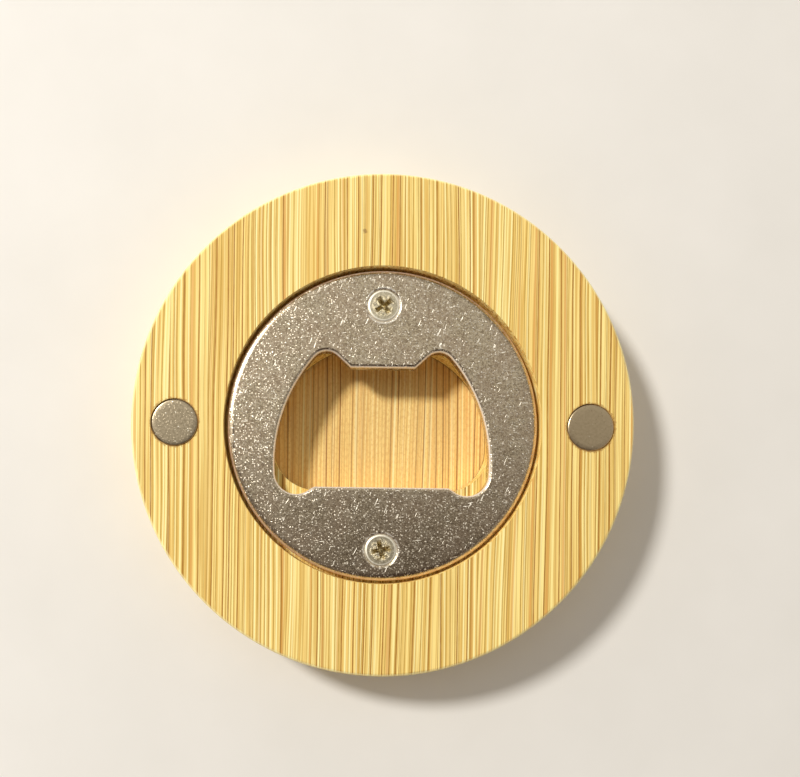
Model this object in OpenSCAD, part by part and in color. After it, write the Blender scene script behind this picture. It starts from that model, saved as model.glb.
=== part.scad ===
// Round bamboo bottle opener that clings to a steel door by two magnets.
// It lies front face down: the steel opener plate and the magnets face up (+Z),
// the lip of the mouth is on the +Y side, and the bamboo's grain runs along Y.
// The origin is at the middle of the front face.

/* [Bamboo body] */
// Diameter of the disc
body_d = 65; // [58:0.5:80]
// Thickness of the disc
body_t = 10; // [9:0.5:14]
// Radius that eases both rims of the disc
rim_r = 0.5; // [0.2:0.1:1.2]
// Strips glued side by side across the disc, an odd number so that one carries both screws
strip_count = 13; // [9:2:17]

/* [Opener plate] */
// Diameter of the steel plate
plate_d = 40.3; // [38:0.1:44]
// Thickness of the steel plate
plate_t = 2; // [1.6:0.1:3]
// Radius that rounds the plate's upper rim
plate_rim_r = 0.6; // [0.2:0.1:1]
// Gap all round between the plate and the wall of its recess
plate_gap = 0.4; // [0.1:0.05:0.8]
// How far the plate's top lies below the wood
plate_sink = 0.5; // [0:0.1:1.5]

/* [Mouth] */
// Width of the mouth at its widest place
mouth_w = 27.9; // [25:0.1:32]
// How far the widest place lies below the plate's centre
mouth_belly = 4.8; // [3:0.1:7]
// Radius of the two long side curves
side_r = 21; // [19:0.1:26]
// Distance from the plate's centre to the lip that lifts the cap
lip_y = 7.5; // [6.5:0.1:9]
// Width of the straight lip
lip_w = 8.4; // [6:0.1:11]
// Radius of the two upper corners beside the lip
lobe_r = 2.1; // [1.4:0.1:2.6]
// How far the upper corners rise past the lip
lobe_rise = 2.1; // [1:0.1:2.6]
// Distance from the plate's centre to the straight edge that bears on the cap
base_y = 8; // [6.5:0.1:9]
// Radius of the two lower corners
corner_r = 2.8; // [2:0.1:4]
// How far the lower corners drop past the straight edge
corner_drop = 1; // [0.6:0.1:1.6]
// Radius that eases the straight edge into the lower corners
shoulder_r = 1.3; // [0.8:0.1:3]

/* [Pocket under the mouth] */
// Depth of the pocket below the underside of the plate
pocket_depth = 4.2; // [2.5:0.1:4.6]
// How far the pocket reaches past the mouth at each side
pocket_side = 0.45; // [0:0.05:1]
// How far the pocket reaches behind the lip, where the cap's skirt hooks in
lip_undercut = 3.9; // [1:0.1:5]
// How far the pocket reaches behind the straight edge
base_undercut = 0.4; // [0:0.1:2]
// Radius of the two corners by the straight edge
pocket_corner_r = 5.9; // [3:0.1:7]
// Radius of the two corners behind the lip, which make nearly one arch
pocket_arch_r = 12.8; // [6:0.1:14]

/* [Screws] */
// Diameter of the flat head
head_d = 4.1; // [3.4:0.1:5]
// Height of the head's straight edge
head_land = 0.12; // [0.05:0.01:0.3]
// Outside diameter of the thread
thread_d = 2.2; // [1.8:0.1:2.6]
// Depth of the thread on one side
thread_depth = 0.3; // [0.15:0.05:0.4]
// Pitch of the thread
thread_pitch = 0.8; // [0.5:0.05:1.2]
// Length from the top of the head to the tip
screw_len = 6.5; // [5:0.1:7]
// Length of the pointed tip
tip_len = 1.4; // [0.8:0.1:2]
// Distance from the plate's rim to the screw beside the lip
lip_screw_inset = 4.6; // [3.5:0.1:6]
// Distance from the plate's rim to the screw beside the straight edge
base_screw_inset = 4; // [3.5:0.1:6]
// How far the cross of the screw beside the lip is turned
lip_screw_turn = 35; // [0:1:89]
// How far the cross of the screw beside the straight edge is turned
base_screw_turn = 13; // [0:1:89]
// Width across the cross recess
cross_w = 2.6; // [1.8:0.1:3]
// Width of each slot of the cross
slot_w = 0.6; // [0.3:0.05:0.8]
// Depth of the cross recess
cross_depth = 1.1; // [0.6:0.1:1.4]
// How much wider the countersink is than the head
countersink_extra = 0.35; // [0.1:0.05:1]
// Gap all round between the thread and the hole in the plate
shank_gap = 0.2; // [0.05:0.05:0.4]
// Gap all round between the thread's crest and the pilot hole in the wood
pilot_gap = 0.02; // [0:0.01:0.1]
// Length of the pilot hole past the screw's tip
pilot_extra = 0.4; // [0.1:0.1:1]

/* [Magnets] */
// Diameter of each magnet
magnet_d = 6; // [4:0.5:8]
// Thickness of each magnet
magnet_t = 3; // [1.5:0.5:5]
// How far each magnet lies outside the middle of the ring of wood round the plate
magnet_out = 0.3; // [-0.5:0.1:0.5]
// Bevel round the magnet's faces
magnet_bevel = 0.2; // [0.05:0.05:0.4]
// Gap all round between the magnet and its hole, part filled with glue
magnet_gap = 0.1; // [0.05:0.05:0.3]
// Thickness of the glue under the magnet
glue_t = 0.15; // [0.05:0.05:0.4]
// How far the glue stays below the wood's surface
glue_sink = 0.35; // [0.1:0.05:1]

/* [Hidden] */
$fn = 96;
// Steps in each short arc, and in each long side curve, of the mouth's outline
arc_steps = 12;
side_steps = 20;
// How far a cut runs past the surface it starts from
past = 1;

strip_w = body_d / strip_count;
plate_r = plate_d / 2;
recess_r = plate_r + plate_gap;
plate_top_z = body_t - plate_sink;
plate_z = plate_top_z - plate_t;
pocket_z = plate_z - pocket_depth;

countersink_d = head_d + countersink_extra;
shank_hole_d = thread_d + 2 * shank_gap;
pilot_d = thread_d + 2 * pilot_gap;
// Both countersinks and heads have a 90 degree cone, so a smaller head seats lower
head_z = plate_top_z - countersink_extra / 2 + head_land;
root_d = thread_d - 2 * thread_depth;
lip_screw_y = plate_r - lip_screw_inset;
base_screw_y = base_screw_inset - plate_r;

// The middle of the ring of wood, between the recess and the disc's rim, guides the magnets
magnet_x = (recess_r + body_d / 2) / 2 + magnet_out;
magnet_hole_d = magnet_d + 2 * magnet_gap;

// Centres of the mouth's arcs on the right side, each tangent to its neighbours
side_c = [mouth_w / 2 - side_r, -mouth_belly];
lobe_c = inside_side(lip_y + lobe_rise - lobe_r, lobe_r);
corner_c = inside_side(corner_r - base_y - corner_drop, corner_r);
shoulder_fall = corner_c.y + base_y + shoulder_r;
shoulder_c = corner_c - [sqrt(pow(corner_r + shoulder_r, 2) - pow(shoulder_fall, 2)), shoulder_fall];
// Directions, as seen from each centre, in which neighbouring arcs meet
lobe_a = heading(side_c, lobe_c);
corner_a = heading(side_c, corner_c);
shoulder_a = heading(shoulder_c, corner_c);
slant_a = tangent_heading([lip_w / 2, lip_y], lobe_c, lobe_r);

STRIPS = [for (i = [1 : strip_count]) str("bamboo_strip_", i < 10 ? "0" : "", i)];
SCREWS = ["screw_lip_side", "screw_base_side"];
MAGNETS = ["magnet_left", "magnet_right"];
GLUES = ["magnet_glue_left", "magnet_glue_right"];

SCREW_Y = [lip_screw_y, base_screw_y];
SCREW_TURN = [lip_screw_turn, base_screw_turn];
SIDES = [-1, 1];
BAMBOO = ["#e2b873", "#d9ab63", "#e6c07e"];

// Centre of an arc of radius r at height y that touches the side curve from within
function inside_side(y, r) =
    [side_c.x + sqrt(pow(side_r - r, 2) - pow(y - side_c.y, 2)), y];

// Direction from one point to another
function heading(from, to) = atan2(to.y - from.y, to.x - from.x);

// Direction from an arc's centre to where a line from the point touches it, on its upper side
function tangent_heading(point, centre, r) =
    heading(centre, point) - acos(min(1, r / norm(point - centre)));

function arc(centre, r, from, to, steps) =
    [for (i = [0 : steps]) let (a = from + (to - from) * i / steps) centre + r * [cos(a), sin(a)]];

// Right half of the mouth's outline, from the lip down to the straight edge
function mouth_half() = concat(
    [[lip_w / 2, lip_y]],
    arc(lobe_c, lobe_r, slant_a, lobe_a, arc_steps),
    arc(side_c, side_r, lobe_a, corner_a, side_steps),
    arc(corner_c, corner_r, corner_a, shoulder_a - 180, arc_steps),
    arc(shoulder_c, shoulder_r, shoulder_a, 90, arc_steps));

module mouth_outline() {
    right = mouth_half();
    left = [for (i = [len(right) - 1 : -1 : 0]) [-right[i].x, right[i].y]];
    polygon(concat(right, left));
}

// Disc whose two rims are rounded
module rounded_disc(r, t, edge) {
    rotate_extrude() {
        square([r - edge, t]);
        translate([0, edge]) square([r, t - 2 * edge]);
        for (z = [edge, t - edge]) translate([r - edge, z]) circle(edge);
    }
}

// Block between two opposite corners of its outline, rounded by r at its low side and by arch_r at its high side
module arched_block(low, high, r, arch_r, h) {
    size = high - low;
    arch = min(arch_r, size.x / 2 - past / 10, size.y - r - past / 10);
    translate([low.x + r, low.y, 0]) cube([size.x - 2 * r, size.y - arch, h]);
    translate([low.x, low.y + r, 0]) cube([size.x, size.y - r - arch, h]);
    translate([low.x + arch, low.y + r, 0]) cube([size.x - 2 * arch, size.y - r, h]);
    for (x = [low.x + r, high.x - r]) translate([x, low.y + r, 0]) cylinder(h, r = r);
    for (x = [low.x + arch, high.x - arch]) intersection() {
        translate([x, high.y - arch, 0]) cylinder(h, r = arch);
        translate([low.x, high.y - arch, 0]) cube([size.x, arch, h]);
    }
}

// All that is milled and drilled out of the disc from above
module milled_spaces() {
    translate([0, 0, plate_z]) cylinder(body_t, r = recess_r);
    translate([0, 0, pocket_z]) arched_block(
        [-mouth_w / 2 - pocket_side, -base_y - base_undercut],
        [mouth_w / 2 + pocket_side, lip_y + lip_undercut],
        pocket_corner_r, pocket_arch_r, pocket_depth + past);
    for (side = SIDES) translate([side * magnet_x, 0, body_t - magnet_t - glue_t])
        cylinder(magnet_t + glue_t + past, d = magnet_hole_d);
    for (y = SCREW_Y) translate([0, y, head_z - screw_len - pilot_extra])
        cylinder(screw_len + pilot_extra, d = pilot_d);
}

module bamboo_strip(i) {
    color(BAMBOO[i % len(BAMBOO)]) difference() {
        intersection() {
            rounded_disc(body_d / 2, body_t, rim_r);
            translate([i * strip_w - body_d / 2, -body_d / 2, 0]) cube([strip_w, body_d, body_t]);
        }
        milled_spaces();
    }
}

module opener_plate() {
    color("#a8a298") translate([0, 0, plate_z]) difference() {
        rotate_extrude() {
            square([plate_r - plate_rim_r, plate_t]);
            square([plate_r, plate_t - plate_rim_r]);
            translate([plate_r - plate_rim_r, plate_t - plate_rim_r]) circle(plate_rim_r);
        }
        translate([0, 0, -past]) linear_extrude(plate_t + 2 * past) mouth_outline();
        for (y = SCREW_Y) translate([0, y, 0]) {
            translate([0, 0, -past]) cylinder(plate_t + 2 * past, d = shank_hole_d);
            translate([0, 0, plate_t - countersink_d / 2]) cylinder(countersink_d / 2, r1 = 0, r2 = countersink_d / 2);
            translate([0, 0, plate_t]) cylinder(past, d = countersink_d);
        }
    }
}

// Screw standing on its tip: head, threaded shank and point, with a cross recess in the head
module screw(turn) {
    root_r = root_d / 2;
    cone_z = screw_len - head_land - (head_d - root_d) / 2;
    turns = floor((cone_z - tip_len) / thread_pitch);
    thread = [for (i = [0 : turns - 1]) each [
        [root_r, tip_len + i * thread_pitch],
        [thread_d / 2, tip_len + (i + 0.5) * thread_pitch]]];
    color("#b9b2a2") difference() {
        rotate_extrude() polygon(concat(
            [[0, 0]], thread,
            [[root_r, tip_len + turns * thread_pitch], [root_r, cone_z],
             [head_d / 2, screw_len - head_land], [head_d / 2, screw_len], [0, screw_len]]));
        translate([0, 0, screw_len - cross_depth]) rotate(turn) intersection() {
            cylinder(cross_depth + past, r1 = slot_w / 2, r2 = cross_w / 2 + past * (cross_w - slot_w) / 2 / cross_depth);
            for (a = [0, 90]) rotate(a)
                translate([-cross_w, -slot_w / 2, 0]) cube([2 * cross_w, slot_w, cross_depth + past]);
        }
    }
}

module plate_screw(i) {
    translate([0, SCREW_Y[i], head_z - screw_len]) screw(SCREW_TURN[i]);
}

module magnet(i) {
    color("#b7ae9d") translate([SIDES[i] * magnet_x, 0, body_t - magnet_t]) rotate_extrude() polygon([
        [0, 0], [magnet_d / 2 - magnet_bevel, 0], [magnet_d / 2, magnet_bevel],
        [magnet_d / 2, magnet_t - magnet_bevel], [magnet_d / 2 - magnet_bevel, magnet_t], [0, magnet_t]]);
}

// Set glue: a pad under the magnet with a sleeve that was squeezed up round it
module magnet_glue(i) {
    color("#c9b98d") translate([SIDES[i] * magnet_x, 0, body_t - magnet_t - glue_t]) difference() {
        cylinder(magnet_t + glue_t - glue_sink, d = magnet_hole_d);
        translate([0, 0, glue_t]) cylinder(magnet_t, d = magnet_d);
    }
}

for (i = [0 : strip_count - 1]) bamboo_strip(i);
opener_plate();
for (i = [0, 1]) plate_screw(i);
for (i = [0, 1]) magnet(i);
for (i = [0, 1]) magnet_glue(i);
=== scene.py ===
import math
import random

import bpy
from mathutils import Euler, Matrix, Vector


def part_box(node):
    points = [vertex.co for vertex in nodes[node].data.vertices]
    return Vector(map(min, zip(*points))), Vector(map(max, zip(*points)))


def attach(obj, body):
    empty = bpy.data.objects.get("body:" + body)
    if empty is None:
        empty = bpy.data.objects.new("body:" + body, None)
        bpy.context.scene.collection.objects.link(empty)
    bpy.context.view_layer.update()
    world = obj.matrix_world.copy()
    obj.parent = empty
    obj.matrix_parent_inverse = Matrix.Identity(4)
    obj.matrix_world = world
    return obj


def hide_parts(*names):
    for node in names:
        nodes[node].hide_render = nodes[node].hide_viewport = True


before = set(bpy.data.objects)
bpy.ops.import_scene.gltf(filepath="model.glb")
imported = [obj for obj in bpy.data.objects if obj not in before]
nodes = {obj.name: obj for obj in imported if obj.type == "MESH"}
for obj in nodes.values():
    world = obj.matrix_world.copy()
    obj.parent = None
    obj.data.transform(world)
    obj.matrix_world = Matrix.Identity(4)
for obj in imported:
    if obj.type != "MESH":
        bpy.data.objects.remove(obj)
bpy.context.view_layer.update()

# ---------------------------------------------------------------- bamboo board
# The disc is milled from a board of thirteen bamboo strips, glued edge to edge, sanded and left bare.
# Each strip has its own tone, and dark fibre bundles run through it along Y, so that they show as
# lines on the faces and as dots on the end grain at the front and back of the rim.

MM = 0.001
PLATE_GAP = 0.4
POCKET_DEPTH = 4.2
GLUE_LINE_REACH = 30.5
CHIP_REACH = 2.85
FLECK_X = -2.6
FLECK_Y = 24.9
STRIPS = sorted(name for name in nodes if name.startswith("bamboo_strip"))
body_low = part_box(STRIPS[0])[0] / MM
body_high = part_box(STRIPS[-1])[1] / MM
body_r = (body_high.x - body_low.x) / 2
body_top = body_high.z
strip_w = (body_high.x - body_low.x) / len(STRIPS)
plate_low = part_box("opener_plate")[0] / MM
plate_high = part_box("opener_plate")[1] / MM
plate_r = (plate_high.x - plate_low.x) / 2
recess_r = plate_r + PLATE_GAP
pocket_z = plate_low.z - POCKET_DEPTH
magnet_x = sum(corner.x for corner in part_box("magnet_right")) / 2 / MM


class Wire:
    """A socket of a material's node tree. Python's operators on it add Math nodes."""

    def __init__(self, tree, socket=None):
        self.tree = tree
        self.socket = socket

    def node(self, kind, settings=None, inputs=None, output=0):
        """Adds any node: its settings are set first, then the values or links of its sockets."""
        made = self.tree.nodes.new("ShaderNode" + kind)
        for name, value in (settings or {}).items():
            setattr(made, name, value)
        for name, value in (inputs or {}).items():
            if isinstance(value, Wire):
                self.tree.links.new(value.socket, made.inputs[name])
            else:
                made.inputs[name].default_value = value
        return Wire(self.tree, made.outputs[output])

    def also(self, output):
        """Another output of the node that this wire comes from."""
        return Wire(self.tree, self.socket.node.outputs[output])

    def math(self, operation, *values):
        return self.node("Math", {"operation": operation}, dict(enumerate(values)))

    def __add__(self, other):
        return self.math("ADD", self, other)

    def __sub__(self, other):
        return self.math("SUBTRACT", self, other)

    def __rsub__(self, other):
        return self.math("SUBTRACT", other, self)

    def __mul__(self, other):
        return self.math("MULTIPLY", self, other)

    def __truediv__(self, other):
        return self.math("DIVIDE", self, other)

    __radd__ = __add__
    __rmul__ = __mul__

    def rise(self, low, high):
        """0 below low and 1 above high, smooth between; low above high turns it round."""
        settings = {"interpolation_type": "SMOOTHSTEP"}
        if low < high:
            return self.node("MapRange", settings, {"Value": self, "From Min": low, "From Max": high})
        turned = {"Value": self, "From Min": high, "From Max": low, "To Min": 1.0, "To Max": 0.0}
        return self.node("MapRange", settings, turned)

    def tint(self, first, second):
        """A colour between two colours, at this value."""
        return self.node("Mix", {"data_type": "RGBA"}, {0: self, 6: first, 7: second}, 2)

    def mix(self, first, second):
        """A number between two numbers, at this value."""
        return self.node("Mix", None, {0: self, 2: first, 3: second})

    def point(self, x, y, z):
        return self.node("CombineXYZ", None, {0: x, 1: y, 2: z})

    def noise(self, scale=1.0, detail=2.0, roughness=0.5):
        """Soft noise, 0 to 1, read at this point."""
        inputs = {"Vector": self, "Scale": scale, "Detail": detail, "Roughness": roughness}
        return self.node("TexNoise", None, inputs)

    def cells(self, scale):
        """Scattered cells: the distance to the nearest one's middle, and a lot drawn for each."""
        distance = self.node("TexVoronoi", {"feature": "F1"}, {"Vector": self, "Scale": scale})
        return distance, self.node("SeparateColor", None, {0: distance.also("Color")})

    def away(self, x, y, middle_x=0.0, middle_y=0.0):
        """How far the place x, y lies from an upright axis."""
        side = x - middle_x
        depth = y - middle_y
        return self.math("SQRT", side * side + depth * depth)


def colour(red, green, blue):
    """A colour given as eye values of 11 to 255, in the linear values that shaders use."""
    linear = [((value / 255 + 0.055) / 1.055) ** 2.4 for value in (red, green, blue)]
    return (*linear, 1.0)


def new_material(name, **fixed):
    """A material with its constant values set on the shader, its tree's first wire and its shader."""
    material = bpy.data.materials.new(name)
    material.use_nodes = True
    shader = material.node_tree.nodes["Principled BSDF"]
    for socket, value in fixed.items():
        shader.inputs[socket.replace("_", " ")].default_value = value
    return material, Wire(material.node_tree), shader


def feed(shader, **wires):
    """Links wires to the shader's sockets of the same names."""
    for socket, wire in wires.items():
        wire.tree.links.new(wire.socket, shader.inputs[socket.replace("_", " ")])


def place_in_mm(start):
    """The point on the piece in millimetres, as a vector and as x, y and z."""
    place = start.node("TexCoord", None, None, "Object")
    scaled = start.node("VectorMath", {"operation": "SCALE"}, {0: place, "Scale": 1 / MM})
    return scaled, [start.node("SeparateXYZ", None, {0: scaled}, i) for i in range(3)]


def bamboo_finish():
    material, start, shader = new_material("bamboo", Specular_IOR_Level=0.3)
    _, (x, y, z) = place_in_mm(start)
    strip_place = (x - body_low.x) / strip_w
    strip = x.math("FLOOR", strip_place)
    lot = start.node("TexWhiteNoise", {"noise_dimensions": "1D"}, {"W": strip * 1.7 + 0.31})
    # the fibres lean a little, each strip its own way, and wander slowly
    wander = start.point(x * 0.12, y * 0.035, z * 0.12).noise(1.0, 1.0)
    across = x + strip * 13.7 + y * ((lot - 0.5) * 0.03) + wander * 0.9

    normal = start.node("NewGeometry", None, None, "Normal")
    facing_up = start.node("SeparateXYZ", None, {0: normal}, 2)
    upright = facing_up.math("ABSOLUTE", facing_up).rise(0.75, 0.35)
    # deeper down, the cutter has laid other bundles open
    deep = z.rise(plate_low.z - 1.0, plate_low.z - 2.5)

    def lines(scale, shift, wide, narrow, chosen):
        """Long fibres of their own strength, which show as dots where they end on an upright face."""
        one_way = {"voronoi_dimensions": "1D"}
        bundle = start.node("TexVoronoi", one_way, {"W": across + deep * 7.3 + shift, "Scale": scale})
        drawn = start.node("SeparateColor", None, {0: bundle.also("Color")})
        seen = bundle.rise(wide, narrow) * drawn.rise(chosen - 0.2, chosen + 0.25)
        end, end_drawn = start.point(across + shift, z, y * 0.02).cells(max(1.3, scale * 0.9))
        dots = end.rise(0.34, 0.2) * end_drawn.rise(chosen + 0.05, chosen + 0.4)
        return upright.mix(seen, dots)

    beads = start.point(across * 5.0, y * 0.5, z * 5.0).noise(1.0, 3.0, 0.6)
    hair = start.point(across * 5.4, y * 0.03, z * 4.0).noise(1.0, 2.0, 0.6)
    fibre = start.point(across * 3.2, y * 0.02, z * 3.0).noise(1.0, 2.0, 0.6)
    band = start.point(across * 0.5, y * 0.006, z * 0.3).noise(1.0, 2.0)
    vessels = lines(0.9, 0.0, 0.1, 0.05, 0.35)
    threads = lines(1.9, 20.0, 0.17, 0.09, 0.25)
    pale = lines(1.3, 40.0, 0.16, 0.06, 0.3)
    amber = lines(0.4, 60.0, 0.09, 0.03, 0.3)
    deep_vessels = lines(1.1, 80.0, 0.14, 0.06, 0.55)
    deep_pale = lines(0.9, 90.0, 0.14, 0.05, 0.5)

    tone = band.rise(0.38, 0.64).tint(colour(255, 240, 162), colour(254, 228, 144))
    tone = (lot * 0.15).tint(tone, colour(244, 206, 122))
    tone = (fibre.rise(0.44, 0.62) * 0.5).tint(tone, colour(238, 196, 106))
    tone = (hair.rise(0.44, 0.58) * 0.75).tint(tone, colour(214, 170, 80))
    tone = (pale * 0.9).tint(tone, colour(255, 246, 180))
    tone = (amber * 0.65).tint(tone, colour(216, 152, 72))
    tone = (threads * (0.5 + beads * 0.7)).tint(tone, colour(190, 148, 60))
    tone = (vessels * (0.6 + beads * 0.7)).tint(tone, colour(170, 118, 42))
    # a thin line of glue between neighbouring strips, but none at the outer strips' round sides
    off_middle = x.math("FRACT", strip_place) - 0.5
    glued = x.math("ABSOLUTE", x).rise(GLUE_LINE_REACH, GLUE_LINE_REACH - 0.5)
    joint = x.math("ABSOLUTE", off_middle).rise(0.488, 0.498) * glued
    tone = (joint * 0.45).tint(tone, colour(170, 122, 60))
    # the rim is sanded paler and also painted lighter as a highlight on its rounding, and the cutter
    # has left the floor of the pocket rough, with torn fibres
    reach = start.away(x, y)
    # the rounded rim is drawn paler, partly for the sanding and partly as a painted highlight
    sanded_rim_and_highlight = reach.rise(body_r - 0.4, body_r - 0.2) * z.rise(body_top - 0.45, body_top - 0.2)
    tone = (sanded_rim_and_highlight * 0.5).tint(tone, colour(255, 246, 190))
    in_pocket = reach.rise(recess_r, recess_r - 1) * z.rise(pocket_z - 1.0, pocket_z - 0.5)
    inside = deep * in_pocket * (1 - upright)
    tone = (inside * 0.5).tint(tone, colour(254, 214, 142))
    torn = start.point(x * 3.4, y * 1.8, z * 3.0).noise(1.0, 3.0, 0.7)
    tone = (inside * torn.rise(0.46, 0.62) * 0.35).tint(tone, colour(214, 162, 90))
    tone = (inside * deep_pale * 0.7).tint(tone, colour(255, 244, 184))
    tone = (inside * deep_vessels * 0.85).tint(tone, colour(150, 94, 36))
    # painted shade: a dark line in the corner between the pocket's floor and its wall
    painted_corner_shade = upright * in_pocket * z.rise(pocket_z + 0.45, pocket_z + 0.2)
    tone = (painted_corner_shade * 0.8).tint(tone, colour(96, 62, 28))
    # chips round the magnet holes, and one dark fleck between the recess and the rim
    at_top = z.rise(body_top - 0.4, body_top - 0.1)
    ragged = start.point(x * 1.6, y * 1.6, z).noise(2.0, 2.0, 0.6)
    near_magnet = start.away(x.math("ABSOLUTE", x), y, magnet_x)
    chip = (near_magnet - ragged * 0.9).rise(CHIP_REACH, CHIP_REACH - 0.2) * at_top
    tone = (chip * 0.6).tint(tone, colour(150, 104, 46))
    near_fleck = start.away(x, y, FLECK_X, FLECK_Y)
    fleck = (near_fleck + ragged * 0.5).rise(0.62, 0.4) * at_top
    tone = (fleck * 0.6).tint(tone, colour(120, 84, 50))
    feed(shader, Base_Color=tone, Roughness=0.6 + fibre * 0.16 - vessels * 0.08)
    height = fibre * 0.4 + hair * 0.3 - vessels * 0.3 + beads * (0.2 + inside * 0.5)
    bump = start.node("Bump", None, {"Height": height, "Strength": 0.3, "Distance": 0.03 * MM})
    feed(shader, Normal=bump)
    return material


bamboo = bamboo_finish()
for name in STRIPS:
    nodes[name].data.materials[0] = bamboo

# ---------------------------------------------------------------- opener plate
# A round steel blank, stamped, so that its upper rim rolls over, with the mouth punched through it.
# Tumbling rounds the mouth's edges, and leaves fine pits and short scratches under the nickel plating.

ROLL_RIM = 0.6
ROLL_WIDTH = 0.95
MOUTH_REACH = 17.0
SCREW_REACH = 3.0
MOUTH_ROUND = 0.45
COUNTERSINK_ROUND = 0.14
UNDERSIDE_ROUND = 0.15
JUST = 0.01
SCREWS = ("screw_lip_side", "screw_base_side")
screw_y = [sum(corner.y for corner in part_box(name)) / 2 / MM for name in SCREWS]


def only(piece):
    """Makes this piece the one that the operators act on."""
    bpy.ops.object.select_all(action="DESELECT")
    piece.select_set(True)
    bpy.context.view_layer.objects.active = piece


def pick(piece, kind, wanted, sharp=None):
    """Selects, in edit mode, the vertices, edges or faces whose middle in mm passes a test."""
    bpy.ops.object.mode_set(mode="EDIT")
    bpy.ops.mesh.select_mode(type=kind)
    bpy.ops.mesh.select_all(action="DESELECT" if sharp else "SELECT")
    if sharp:
        bpy.ops.mesh.edges_select_sharp(sharpness=math.radians(sharp))
    bpy.ops.object.mode_set(mode="OBJECT")
    mesh = piece.data
    kinds = {"VERT": "vertices", "EDGE": "edges", "FACE": "polygons"}
    chosen = []
    for part in getattr(mesh, kinds[kind]):
        corners = [part.index] if kind == "VERT" else part.vertices
        middle = sum((mesh.vertices[i].co for i in corners), Vector()) / len(corners) / MM
        if part.select and wanted(middle):
            chosen.append(part.index)
    bpy.ops.object.mode_set(mode="EDIT")
    bpy.ops.mesh.select_all(action="DESELECT")
    bpy.ops.object.mode_set(mode="OBJECT")
    for index in chosen:
        getattr(mesh, kinds[kind])[index].select = True
    bpy.ops.object.mode_set(mode="EDIT")


def finish_modifier(piece, kind, **settings):
    """Adds a modifier and applies it."""
    modifier = piece.modifiers.new(kind.lower(), kind)
    for name, value in settings.items():
        setattr(modifier, name, value)
    bpy.ops.object.modifier_apply(modifier=modifier.name)


def merged_copy(node, name):
    """A piece with a CAD node's shape, its loose triangles merged into whole faces."""
    piece = bpy.data.objects.new(name, nodes[node].data.copy())
    bpy.context.scene.collection.objects.link(piece)
    only(piece)
    bpy.ops.object.mode_set(mode="EDIT")
    bpy.ops.mesh.select_all(action="SELECT")
    bpy.ops.mesh.customdata_custom_splitnormals_clear()
    bpy.ops.mesh.remove_doubles(threshold=0.001 * MM)
    bpy.ops.mesh.dissolve_limited(angle_limit=math.radians(0.5))
    return piece


def smooth(piece, angle):
    """Soft shading over rounded edges, with the flat faces kept flat."""
    bpy.ops.object.mode_set(mode="OBJECT")
    bpy.ops.object.shade_smooth_by_angle(angle=math.radians(angle))
    finish_modifier(piece, "WEIGHTED_NORMAL", keep_sharp=True, weight=100)


def belongs(piece, material, slot, *replaced):
    """Gives a finished piece its material and its body, in place of CAD nodes. The slot is not used."""
    piece.data.materials.clear()
    piece.data.materials.append(material)
    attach(piece, "root")
    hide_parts(*replaced)


def from_screw(start, x, y):
    """How far the place x, y lies from the nearer screw's axis."""
    first, second = [start.away(x, y, 0.0, at) for at in screw_y]
    return start.math("MINIMUM", first, second)


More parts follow.
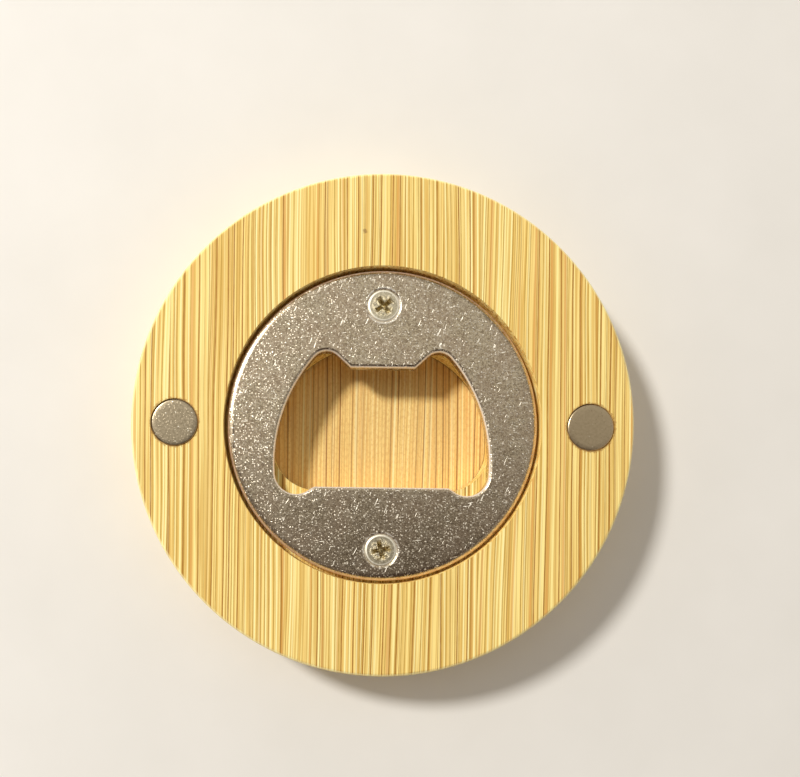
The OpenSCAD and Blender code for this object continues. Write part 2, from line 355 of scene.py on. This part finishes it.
def tumbled_steel():
    material, start, shader = new_material("tumbled_nickel")
    place, (x, y, z) = place_in_mm(start)

    def scratches(turn, scale, rare):
        """Short straight scratches that all run one way."""
        axis = {"rotation_type": "Z_AXIS"}
        turned = start.node("VectorRotate", axis, {0: place, "Angle": math.radians(turn)})
        stretch = (scale, scale * 0.14, scale)
        drawn = start.node("VectorMath", {"operation": "MULTIPLY"}, {0: turned, 1: stretch})
        return drawn.noise(1.0, 1.0).rise(rare, rare + 0.05)

    pits, pit_lot = place.cells(2.4)
    dots, dot_lot = place.cells(4.2)
    pit_and_glint = pits.rise(0.3, 0.14) * pit_lot.rise(0.3, 0.7)
    dot = dots.rise(0.42, 0.22) * dot_lot.rise(0.3, 0.8)
    marks = scratches(24, 5.4, 0.72) + scratches(82, 4.8, 0.74) + scratches(151, 5.8, 0.74)
    cloud = place.noise(0.22, 3.0, 0.6)
    peel = place.noise(5.2, 3.0, 0.7)
    # the punch has left a rougher band down the mouth's wall, painted near white as a highlight, and
    # the rolled rim is painted pale pink as a highlight with the wood's reflection in it
    reach = start.away(x, y)
    top = plate_high.z
    punched_band_and_highlight = z.rise(top - 0.08, top - 0.18) * z.rise(top - 0.6, top - 0.4)
    painted_rim_reflection = reach.rise(plate_r - 0.4, plate_r - 0.22)
    sheared_band_and_painted_sheen = punched_band_and_highlight * reach.rise(MOUTH_REACH + 0.2, MOUTH_REACH - 0.2) * 0.85 + painted_rim_reflection * 0.55
    wear = (place.noise(1.1, 3.0, 0.6) + peel * 0.4).rise(0.62, 0.9)
    # painted glints: the pits, dots and scratches are painted near white where they would catch the
    # light
    painted_glints = start.math("MINIMUM", pit_and_glint * 0.9 + dot * 0.6 + marks, 1.0)
    tone = peel.rise(0.38, 0.62).tint(colour(158, 142, 118), colour(226, 212, 184))
    tone = (cloud.rise(0.4, 0.6) * 0.3).tint(tone, colour(190, 166, 144))
    tone = (wear * 0.35).tint(tone, colour(232, 220, 198))
    tone = painted_glints.tint(tone, colour(255, 250, 236))
    # painted highlight on the mouth's wall, and a painted pinkish reflection of the wood on the rolled
    # rim
    tone = sheared_band_and_painted_sheen.tint(tone, painted_rim_reflection.tint(colour(255, 250, 244), colour(255, 228, 214)))
    # painted highlight: the countersinks' edges are painted bright, broken up in places
    near_screw = from_screw(start, x, y)
    highlight_breakup = place.noise(1.4, 2.0).rise(0.4, 0.55)
    painted_countersink_highlight = near_screw.rise(2.16, 2.24) * near_screw.rise(2.46, 2.36) * highlight_breakup
    tone = (painted_countersink_highlight * 0.7).tint(tone, colour(255, 250, 238))
    feed(shader, Base_Color=tone, Metallic=1.0 - sheared_band_and_painted_sheen * 0.5 - painted_countersink_highlight * 0.3)
    feed(shader, Roughness=0.2 + cloud * 0.1 + painted_glints * 0.3 + sheared_band_and_painted_sheen * 0.2)
    height = pit_and_glint * 0.9 + dot * 0.7 + peel * 0.5 - marks * 0.8
    bump = start.node("Bump", None, {"Height": height, "Strength": 0.45, "Distance": 0.035 * MM})
    feed(shader, Normal=bump)
    return material


plate = merged_copy("opener_plate", "stamped_plate")
# the rim's quarter circle is drawn out inwards, ring by ring
rim_start = plate_high.z - ROLL_RIM
inner_r = plate_r - ROLL_RIM
rim_levels = set()
for vertex in plate.data.vertices:
    level = vertex.co.z / MM
    if vertex.co.xy.length / MM > inner_r - JUST and level > rim_start + JUST:
        rim_levels.add(round(level, 4))
for level in sorted(rim_levels):
    ring_r = inner_r + math.sqrt(max(0, ROLL_RIM ** 2 - (level - rim_start) ** 2))
    rolled_r = plate_r - (plate_r - ring_r) * ROLL_WIDTH / ROLL_RIM
    pick(plate, "VERT", lambda p: abs(p.z - level) < 0.001 and p.xy.length > inner_r - JUST)
    bpy.ops.transform.resize(value=(rolled_r / ring_r, rolled_r / ring_r, 1), center_override=(0, 0, 0))


def by_screw(p):
    return min(math.hypot(p.x, p.y - at) for at in screw_y) < SCREW_REACH


def on_mouth_edge(p):
    return p.z > plate_high.z - JUST and p.xy.length < MOUTH_REACH and not by_screw(p)


pick(plate, "EDGE", on_mouth_edge, sharp=50)
bpy.ops.mesh.bevel(offset=MOUTH_ROUND * MM, segments=6, clamp_overlap=False)
pick(plate, "EDGE", lambda p: p.z > plate_high.z - JUST and by_screw(p), sharp=30)
bpy.ops.mesh.bevel(offset=COUNTERSINK_ROUND * MM, segments=3, clamp_overlap=False)
pick(plate, "EDGE", lambda p: p.z < plate_low.z + JUST and not by_screw(p), sharp=50)
bpy.ops.mesh.bevel(offset=UNDERSIDE_ROUND * MM, segments=2, clamp_overlap=False)
smooth(plate, 40)
belongs(plate, tumbled_steel(), "plate_steel", "opener_plate")

# ---------------------------------------------------------------- plate screws
# Two small countersunk wood screws, nickel plated over brass-coloured steel, hold the plate down.
# The driver has bruised their cross recesses, where the yellow metal shows.

HEAD_R = 2.05
HEAD_INSET = 0.17
HEAD_DOME = 0.11
HEAD_ROUND = 0.06
LAND = 0.12
ROOT_R = 0.8
CREST_R = 1.1
PITCH = 0.8
RIDGE = 0.3
RIDGE_SUNK = 0.06
RIDGE_STEPS = 48
TIP = 1.4
SCREW_LEN = 6.5
CROSS_W = 2.6
SLOT_W = 0.6
CROSS_DEPTH = 1.1
CROSS_ROUND = 0.05
CROSS_TURNS = (35, 13)
BRUISE = 0.05
screw_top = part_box(SCREWS[0])[1].z / MM
cone_h = HEAD_R - ROOT_R


def sink(amount, factor):
    """Extrudes the selected face downwards and scales it about the screw's axis."""
    bpy.ops.mesh.extrude_region_move(TRANSFORM_OT_translate={"value": (0, 0, -amount * MM)})
    bpy.ops.transform.resize(value=(factor, factor, 1), center_override=(0, 0, 0))


def screw_shank_and_head():
    middle = (0, 0, (screw_top - LAND / 2) * MM)
    bpy.ops.object.select_all(action="DESELECT")
    bpy.ops.mesh.primitive_cylinder_add(
        vertices=72, radius=HEAD_R * MM, depth=LAND * MM, location=middle)
    bpy.ops.object.transform_apply(location=True)
    screw = bpy.context.active_object
    pick(screw, "FACE", lambda p: p.z < screw_top - LAND + JUST)
    sink(cone_h, ROOT_R / HEAD_R)
    sink(SCREW_LEN - LAND - cone_h - TIP, 1)
    sink(TIP, 0.04)
    # the plated head's edge is domed, so that it shows as a bright ring
    pick(screw, "FACE", lambda p: p.z > screw_top - JUST)
    bpy.ops.mesh.inset(thickness=HEAD_INSET * MM)
    pick(screw, "VERT", lambda p: p.z > screw_top - JUST and p.xy.length > HEAD_R - 0.1)
    bpy.ops.transform.translate(value=(0, 0, -HEAD_DOME * MM))
    pick(screw, "EDGE", lambda p: p.z > screw_top - JUST, sharp=8)
    bpy.ops.mesh.bevel(offset=HEAD_ROUND * MM, segments=3, clamp_overlap=False)
    bpy.ops.object.mode_set(mode="OBJECT")
    return screw


def cut_cross(screw):
    """Two crossed slots, cut with wedges that narrow downwards, then bruised by the driver's tip."""
    cross_reach = CROSS_W / 2
    for turn in (0, 90):
        bpy.ops.object.select_all(action="DESELECT")
        bpy.ops.mesh.primitive_cube_add(size=1, location=(0, 0, screw_top * MM))
        cutter = bpy.context.active_object
        cutter.scale = (CROSS_W * MM, SLOT_W * MM, 2 * CROSS_DEPTH * MM)
        cutter.rotation_euler = Euler((0, 0, math.radians(turn)))
        bpy.ops.object.transform_apply(location=True, rotation=True, scale=True)
        # the slots narrow downwards and are at their full width at the head's face
        for level, factor in ((-CROSS_DEPTH, 0.35), (CROSS_DEPTH, 1.65)):
            pick(cutter, "FACE", lambda p: abs(p.z - screw_top - level) < JUST)
            bpy.ops.transform.resize(
                value=(factor, factor, 1), center_override=(0, 0, screw_top * MM))
        bpy.ops.object.mode_set(mode="OBJECT")
        only(screw)
        finish_modifier(screw, "BOOLEAN", object=cutter, solver="EXACT")
        bpy.data.objects.remove(cutter)
    pick(screw, "EDGE", lambda p: p.z > screw_top - JUST and p.xy.length < cross_reach + 0.1, sharp=40)
    bpy.ops.mesh.bevel(offset=CROSS_ROUND * MM, segments=2, clamp_overlap=False)
    pick(screw, "VERT", lambda p: p.z > screw_top - 0.3 and p.xy.length < cross_reach + 0.2)
    bpy.ops.transform.vertex_random(offset=BRUISE * MM, seed=3)
    bpy.ops.object.mode_set(mode="OBJECT")


def add_thread(screw):
    """One helical ridge round the shank, swept from a triangle and joined to it."""
    start_z = screw_top - SCREW_LEN + TIP
    turns = math.floor((SCREW_LEN - LAND - cone_h - TIP) / PITCH)
    bpy.ops.object.select_all(action="DESELECT")
    bpy.ops.mesh.primitive_circle_add(vertices=3, radius=RIDGE * MM, rotation=(math.pi / 2, 0, 0))
    bpy.ops.object.transform_apply(rotation=True)
    ridge = bpy.context.active_object
    foot_r = ROOT_R - RIDGE_SUNK
    corners = ((foot_r, -RIDGE), (CREST_R, 0), (foot_r, RIDGE))
    for vertex, (reach, rise) in zip(ridge.data.vertices, corners):
        vertex.co = Vector((reach, 0, start_z + rise + PITCH / 4)) * MM
    finish_modifier(
        ridge, "SCREW", angle=2 * math.pi, screw_offset=PITCH * MM, iterations=turns,
        steps=RIDGE_STEPS, render_steps=RIDGE_STEPS)
    bpy.ops.object.mode_set(mode="EDIT")
    bpy.ops.mesh.select_mode(type="EDGE")
    bpy.ops.mesh.select_all(action="DESELECT")
    bpy.ops.mesh.select_non_manifold()
    bpy.ops.mesh.fill_holes(sides=0)
    bpy.ops.mesh.select_all(action="SELECT")
    bpy.ops.mesh.normals_make_consistent(inside=False)
    bpy.ops.object.mode_set(mode="OBJECT")
    only(screw)
    finish_modifier(screw, "BOOLEAN", object=ridge, operation="UNION", solver="EXACT")
    bpy.data.objects.remove(ridge)


def screw_finish():
    material, start, shader = new_material("screw_plating", Metallic=1.0)
    place, (x, y, z) = place_in_mm(start)
    pits, pit_lot = place.cells(3.6)
    pit_and_glint = pits.rise(0.36, 0.16) * pit_lot.rise(0.3, 0.8)
    peel = place.noise(3.5, 3.0, 0.65)
    chips = place.noise(2.6, 3.0, 0.7)
    across = from_screw(start, x, y)
    bruised = across.rise(1.6, 1.1) * chips.rise(0.46, 0.56)
    deep = z.rise(screw_top - 0.08, screw_top - 0.3)
    yellow = bruised.math("MAXIMUM", bruised * 0.8, deep)
    tone = peel.rise(0.3, 0.7).tint(colour(184, 176, 150), colour(222, 212, 186))
    # painted glints: the pits are painted near white
    tone = (pit_and_glint * 0.7).tint(tone, colour(255, 250, 232))
    # the bruised recess's yellow metal is painted in patches of dark olive and of pale cream, the cream
    # a painted highlight
    recess_glint_patches = place.noise(5.0, 2.0, 0.6).rise(0.42, 0.6)
    tone = (yellow * 0.85).tint(tone, recess_glint_patches.tint(colour(140, 112, 56), colour(255, 244, 200)))
    # painted highlight: a bright ring near the head's domed edge
    painted_head_rim_highlight = across.rise(HEAD_R - 0.31, HEAD_R - 0.21) * across.rise(HEAD_R - 0.01, HEAD_R - 0.07)
    tone = (painted_head_rim_highlight * 0.7).tint(tone, colour(255, 252, 240))
    feed(shader, Base_Color=tone, Roughness=0.34 + peel * 0.12 + yellow * 0.1 + painted_head_rim_highlight * 0.2)
    height = peel * 0.5 + pit_and_glint * 0.4 + yellow * chips * 6.0
    bump = start.node("Bump", None, {"Height": height, "Strength": 0.45, "Distance": 0.04 * MM})
    feed(shader, Normal=bump)
    return material


master = screw_shank_and_head()
cut_cross(master)
add_thread(master)
smooth(master, 35)
screw_plating = screw_finish()
for name, at, turn in zip(SCREWS, screw_y, CROSS_TURNS):
    screw = bpy.data.objects.new(name.replace("screw", "wood_screw"), master.data.copy())
    bpy.context.scene.collection.objects.link(screw)
    only(screw)
    screw.location = (0, at * MM, 0)
    screw.rotation_euler = Euler((0, 0, math.radians(turn)))
    bpy.ops.object.transform_apply(location=True, rotation=True)
    belongs(screw, screw_plating, "screw_steel", name)
bpy.data.objects.remove(master)

# ---------------------------------------------------------------- magnets
# Two nickel-plated neodymium discs, pressed into glue in blind holes until they are level with the
# wood. Their rims are rounded, as sintered magnets are, and the left one is the more worn.

MAGNET_R = 3.0
MAGNET_T = 3.0
MAGNET_ROUND = 0.22


def magnet_finish(name, wear, dull, clean):
    material, start, shader = new_material(name, Metallic=1.0)
    place, _ = place_in_mm(start)
    pits, pit_lot = place.cells(2.4)
    grit, grit_lot = place.cells(5.0)
    pit_and_glint = pits.rise(0.26, 0.1) * pit_lot.rise(0.74, 0.9)
    speckle = grit.rise(0.42, 0.2) * grit_lot.rise(0.4, 0.9) * wear
    peel = place.noise(3.0, 3.0, 0.65)
    tone = peel.rise(0.3, 0.7).tint(dull, clean)
    tone = (speckle * 0.6).tint(tone, colour(214, 200, 172))
    # painted glints: the pits are painted near white, more on the more worn magnet
    tone = (pit_and_glint * wear).tint(tone, colour(255, 250, 232))
    feed(shader, Base_Color=tone, Roughness=0.24 + peel * 0.1 + speckle * 0.1)
    height = pit_and_glint * 0.6 + speckle * 0.6 + peel * (0.3 * wear)
    bump = start.node("Bump", None, {"Height": height, "Strength": 0.3, "Distance": 0.03 * MM})
    feed(shader, Normal=bump)
    return material


PLATINGS = {
    "magnet_left": (1.0, colour(160, 147, 122), colour(184, 170, 144)),
    "magnet_right": (0.35, colour(190, 172, 140), colour(204, 186, 154)),
}
for name, plating in PLATINGS.items():
    low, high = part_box(name)
    middle = (low + high) / 2
    bpy.ops.object.select_all(action="DESELECT")
    bpy.ops.mesh.primitive_cylinder_add(
        vertices=96, radius=MAGNET_R * MM, depth=MAGNET_T * MM, location=middle)
    bpy.ops.object.transform_apply(location=True)
    magnet = bpy.context.active_object
    magnet.name = name.replace("magnet", "disc_magnet")
    pick(magnet, "EDGE", lambda p: True, sharp=60)
    bpy.ops.mesh.bevel(offset=MAGNET_ROUND * MM, segments=5)
    pick(magnet, "FACE", lambda p: p.z > high.z / MM - 0.001)
    bpy.ops.mesh.inset(thickness=0.5 * MM)
    smooth(magnet, 40)
    nickel = magnet_finish(name.replace("magnet", "magnet_nickel"), *plating)
    belongs(magnet, nickel, "magnet_plating", name)

# ---------------------------------------------------------------- magnet glue
# Clear two-part glue under each magnet, squeezed up round it. It set amber, and stands at an uneven
# height in the narrow gap between the magnet and the wood.

LUMPS = 11
RISE = 0.33


def glue_finish():
    material, start, shader = new_material("amber_glue", Transmission_Weight=0.15, IOR=1.5)
    place, _ = place_in_mm(start)
    cloud = place.noise(1.4, 3.0, 0.6)
    tone = cloud.rise(0.35, 0.65).tint(colour(150, 112, 60), colour(206, 168, 100))
    feed(shader, Base_Color=tone, Roughness=0.16 + cloud * 0.2)
    return material


random.seed(7)
amber_glue = glue_finish()
for name in ("magnet_glue_left", "magnet_glue_right"):
    glue = merged_copy(name, name.replace("magnet_glue", "set_glue"))
    bpy.ops.object.mode_set(mode="OBJECT")
    low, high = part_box(name)
    middle = (low + high) / 2
    lumps = [random.uniform(-0.3, 0.3) for _ in range(LUMPS)]
    for vertex in glue.data.vertices:
        if vertex.co.z > high.z - 0.01 * MM:
            turn = math.atan2(vertex.co.y - middle.y, vertex.co.x - middle.x) / math.tau
            at = turn * LUMPS
            before = lumps[math.floor(at) % LUMPS]
            after = lumps[math.ceil(at) % LUMPS]
            lump = before + (after - before) * (at - math.floor(at))
            # fullest at the upper right and the lower left
            swell = 0.5 + 0.5 * math.sin(2 * math.tau * turn) + lump
            vertex.co.z += RISE * min(1, max(0, swell)) * MM
    smooth(glue, 40)
    belongs(glue, amber_glue, "set_glue", name)

# ---------------------------------------------------------------- studio
# A pale sheet to lie on, one soft key light from the upper left and a pale room all round, with a
# soft dark area over the near side, as a person leaning over the table makes.

FLOOR_SIZE = 1.6
FLOOR_DROP = 0.02
KEY_AWAY = 0.7
bpy.ops.object.select_all(action="DESELECT")
bpy.ops.mesh.primitive_plane_add(size=FLOOR_SIZE, location=(0, 0, -FLOOR_DROP * MM))
bpy.ops.object.transform_apply(location=True)
floor = bpy.context.active_object
floor.name = "studio_floor"
floor_paint, floor_start, floor_shader = new_material(
    "studio_paper", Roughness=0.9, Specular_IOR_Level=0.2)
floor_place, _ = place_in_mm(floor_start)
mottle = floor_place.noise(0.05, 3.0, 0.6)
feed(floor_shader, Base_Color=mottle.tint(colour(226, 224, 219), colour(236, 234, 230)))
floor.data.materials.append(floor_paint)

key_from = Vector((-0.79, 0.54, 1.0)).normalized()
key_data = bpy.data.lights.new("key", "AREA")
key_data.shape = "DISK"
key_data.size = 0.11
key_data.energy = 4.35
key_data.color = (1.0, 0.97, 0.92)
key = bpy.data.objects.new("key", key_data)
key.location = key_from * KEY_AWAY
key.rotation_euler = key_from.to_track_quat("Z", "Y").to_euler()
bpy.context.scene.collection.objects.link(key)

DARK_CLOTHES = (0.09, 0.045, 0.032, 1)
CEILING = (1.25, 1.18, 1.06, 1)
NEAR_WALL = (0.17, 0.09, 0.065, 1)
FAR_WALL = (0.3, 0.28, 0.25, 1)
NEAR_WINDOW = (1.2, 1.1, 1.0, 1)
FAR_WINDOW = (2.4, 2.3, 2.15, 1)
world = bpy.data.worlds.new("studio_room")
world.use_nodes = True
bpy.context.scene.world = world
background = world.node_tree.nodes["Background"]
room = Wire(world.node_tree)
direction = room.node("TexCoord", None, None, "Generated")
side, depth, up = [room.node("SeparateXYZ", None, {0: direction}, i) for i in range(3)]
leaning = depth.rise(-0.05, 0.16) + side.rise(0.12, -0.2) * 0.3 + side.rise(0.3, 0.55)
open_room = leaning.math("MINIMUM", leaning + up.rise(0.75, 0.3), 1.0)
overhead = open_room.tint(DARK_CLOTHES, CEILING)
walls = depth.rise(-0.3, 0.1).tint(NEAR_WALL, FAR_WALL)
upper_room = (up.rise(0.88, 0.8) * 0.5).tint(overhead, walls)
windows = depth.rise(-0.4, 0.0).tint(NEAR_WINDOW, FAR_WINDOW)
feed(background, Color=up.rise(0.52, 0.3).tint(upper_room, windows))
background.inputs["Strength"].default_value = 0.5

# The camera stands over the lower left of the disc and looks straight down, with its view shifted up
# and to the right.
VIEW_SIZE = (800, 777)
PER_MM = 7.766
CAMERA_RISE = 100
CAMERA_ROLL = 0.75
FOOT = Vector((-6.25, -12.94))
DISC_AT = Vector((381.3, 424.3))
camera_data = bpy.data.cameras.new("camera")
camera_data.sensor_width = 36.0
camera_data.lens = camera_data.sensor_width * CAMERA_RISE * PER_MM / VIEW_SIZE[0]
camera_data.clip_start = 0.005
camera_data.shift_x = (VIEW_SIZE[0] / 2 - DISC_AT.x - FOOT.x * PER_MM) / VIEW_SIZE[0]
camera_data.shift_y = (DISC_AT.y - VIEW_SIZE[1] / 2 - FOOT.y * PER_MM) / VIEW_SIZE[0]
camera = bpy.data.objects.new("camera", camera_data)
camera.location = Vector((FOOT.x, FOOT.y, body_top + CAMERA_RISE)) * MM
camera.rotation_euler = Euler((0, 0, math.radians(CAMERA_ROLL)))
bpy.context.scene.collection.objects.link(camera)
bpy.context.scene.camera = camera
bpy.context.scene.view_settings.view_transform = "Standard"
